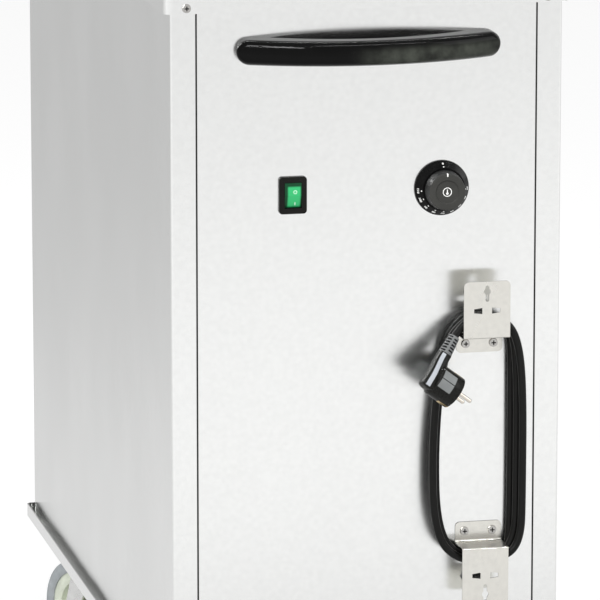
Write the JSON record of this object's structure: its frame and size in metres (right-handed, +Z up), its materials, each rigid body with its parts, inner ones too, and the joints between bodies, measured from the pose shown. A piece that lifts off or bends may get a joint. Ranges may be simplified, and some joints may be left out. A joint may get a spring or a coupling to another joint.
{
  "type": "plate dispenser cart",
  "caption": "Heated mobile plate dispenser: steel cabinet with sprung plate wells and lids, bow handle, switch, thermostat, cord wound on brackets, swivel castors.",
  "frame": {"origin": "middle of the footprint on the floor, between the handle's front and the tray's rear lip", "axes": "+Z up, the operator's end with the handle and controls faces -Y, the right-hand side is +X, the long side runs along Y"},
  "size_m": [0.468, 1.0106, 1.0968],
  "materials": {
    "satin_steel": "satin",
    "tray_steel": "satin",
    "frame_steel": "mill",
    "post_paint": "dark paint",
    "screw_steel": "polished",
    "bracket_steel": "satin",
    "heater_sheath": "satin",
    "handle_plastic": "gloss",
    "switch_black": "semi gloss",
    "switch_green": "gloss, translucent",
    "dial_black": "matte",
    "thermostat_case": "matte",
    "gland_black": "matte",
    "cord_black": "satin",
    "plug_black": "satin",
    "pin_brass": "nickel plated",
    "zinc_steel": "zinc plated",
    "ring_steel": "satin",
    "guide_plastic": "matte",
    "platform_steel": "satin",
    "spring_steel": "bright",
    "lid_clear": "clear",
    "lid_knob_black": "matte",
    "bolt_steel": "zinc plated",
    "hub_plastic": "satin",
    "tyre_rubber": "matte"
  },
  "bodies": {
    "cabinet": {"base_tray": "tray_steel", "left_side_panel": "satin_steel", "right_side_panel": "satin_steel", "front_panel": "satin_steel", "rear_panel": "satin_steel", "corner_posts": "post_paint", "top_deck": "satin_steel", "deck_screws": "screw_steel", "heater_element": "heater_sheath", "heater_bracket": "frame_steel", "handle": "handle_plastic", "switch_housing": "switch_black", "thermostat_bezel": "dial_black", "thermostat_body": "thermostat_case", "cord_bracket_upper": "bracket_steel", "cord_bracket_lower": "bracket_steel", "bracket_screws": "screw_steel", "cord_gland": "gland_black", "cord_winding": "cord_black", "cord_tail": "cord_black", "plug_body": "plug_black", "plug_pins": "pin_brass", "castor_plates": "zinc_steel", "well_ring_front": "ring_steel", "guide_cage_front": "frame_steel", "plate_guides_front": "guide_plastic", "well_ring_rear": "ring_steel", "guide_cage_rear": "frame_steel", "plate_guides_rear": "guide_plastic"},
    "lift_front": {"plate_platform_front": "platform_steel", "lift_carriage_front": "frame_steel", "lift_springs_front": "spring_steel"},
    "cover_front": {"lid_front": "lid_clear", "lid_knob_front": "lid_knob_black"},
    "lift_rear": {"plate_platform_rear": "platform_steel", "lift_carriage_rear": "frame_steel", "lift_springs_rear": "spring_steel"},
    "cover_rear": {"lid_rear": "lid_clear", "lid_knob_rear": "lid_knob_black"},
    "swivel_front_left": {"castor_fork_front_left": "zinc_steel", "castor_axle_front_left": "bolt_steel"},
    "wheel_front_left": {"castor_hub_front_left": "hub_plastic", "castor_tyre_front_left": "tyre_rubber"},
    "brake_front_left": {"brake_pedal_front_left": "zinc_steel"},
    "swivel_front_right": {"castor_fork_front_right": "zinc_steel", "castor_axle_front_right": "bolt_steel"},
    "wheel_front_right": {"castor_hub_front_right": "hub_plastic", "castor_tyre_front_right": "tyre_rubber"},
    "brake_front_right": {"brake_pedal_front_right": "zinc_steel"},
    "swivel_rear_left": {"castor_fork_rear_left": "zinc_steel", "castor_axle_rear_left": "bolt_steel"},
    "wheel_rear_left": {"castor_hub_rear_left": "hub_plastic", "castor_tyre_rear_left": "tyre_rubber"},
    "swivel_rear_right": {"castor_fork_rear_right": "zinc_steel", "castor_axle_rear_right": "bolt_steel"},
    "wheel_rear_right": {"castor_hub_rear_right": "hub_plastic", "castor_tyre_rear_right": "tyre_rubber"},
    "rocker": {"switch_rocker": "switch_green"},
    "knob": {"thermostat_knob": "dial_black"}
  },
  "joints": [
    {"name": "plate_lift_front", "type": "slide", "parent": "cabinet", "child": "lift_front", "axis": [0, 0, 1], "range_m": [-0.54, 0], "stiffness_N_per_m": 640, "springref_m": 0.09, "deforming": ["lift_springs_front"]},
    {"name": "lid_off_front", "type": "slide", "parent": "cabinet", "child": "cover_front", "axis": [0, 0, 1], "range_m": [0, 0.25]},
    {"name": "plate_lift_rear", "type": "slide", "parent": "cabinet", "child": "lift_rear", "axis": [0, 0, 1], "range_m": [-0.54, 0], "stiffness_N_per_m": 640, "springref_m": 0.09, "deforming": ["lift_springs_rear"]},
    {"name": "lid_off_rear", "type": "slide", "parent": "cabinet", "child": "cover_rear", "axis": [0, 0, 1], "range_m": [0, 0.25]},
    {"name": "swivel_front_left", "type": "hinge", "parent": "cabinet", "child": "swivel_front_left", "pos_m": [-0.1665, -0.33, 0.15], "axis": [0, 0, 1], "continuous": true},
    {"name": "roll_front_left", "type": "hinge", "parent": "swivel_front_left", "child": "wheel_front_left", "pos_m": [-0.1665, -0.366, 0.0625], "axis": [-1, 0, 0], "continuous": true},
    {"name": "brake_front_left", "type": "hinge", "parent": "swivel_front_left", "child": "brake_front_left", "pos_m": [-0.1665, -0.348, 0.1335], "axis": [-1, 0, 0], "range_deg": [0, 12]},
    {"name": "swivel_front_right", "type": "hinge", "parent": "cabinet", "child": "swivel_front_right", "pos_m": [0.1665, -0.33, 0.15], "axis": [0, 0, 1], "continuous": true},
    {"name": "roll_front_right", "type": "hinge", "parent": "swivel_front_right", "child": "wheel_front_right", "pos_m": [0.1665, -0.366, 0.0625], "axis": [-1, 0, 0], "continuous": true},
    {"name": "brake_front_right", "type": "hinge", "parent": "swivel_front_right", "child": "brake_front_right", "pos_m": [0.1665, -0.348, 0.1335], "axis": [-1, 0, 0], "range_deg": [0, 12]},
    {"name": "swivel_rear_left", "type": "hinge", "parent": "cabinet", "child": "swivel_rear_left", "pos_m": [-0.1665, 0.331, 0.15], "axis": [0, 0, 1], "continuous": true},
    {"name": "roll_rear_left", "type": "hinge", "parent": "swivel_rear_left", "child": "wheel_rear_left", "pos_m": [-0.18171, 0.36363, 0.0625], "axis": [0.9063, 0.4226, 0], "continuous": true},
    {"name": "swivel_rear_right", "type": "hinge", "parent": "cabinet", "child": "swivel_rear_right", "pos_m": [0.1665, 0.331, 0.15], "axis": [0, 0, 1], "continuous": true},
    {"name": "roll_rear_right", "type": "hinge", "parent": "swivel_rear_right", "child": "wheel_rear_right", "pos_m": [0.18171, 0.36363, 0.0625], "axis": [0.9063, -0.4226, 0], "continuous": true},
    {"name": "switch_rock", "type": "hinge", "parent": "cabinet", "child": "rocker", "pos_m": [-0.086, -0.4455, 0.7495], "axis": [-1, 0, 0], "range_deg": [0, 16]},
    {"name": "thermostat_turn", "type": "hinge", "parent": "cabinet", "child": "knob", "pos_m": [0.0858, -0.4645, 0.751], "axis": [0, 1, 0], "range_deg": [0, 270]}
  ]
}
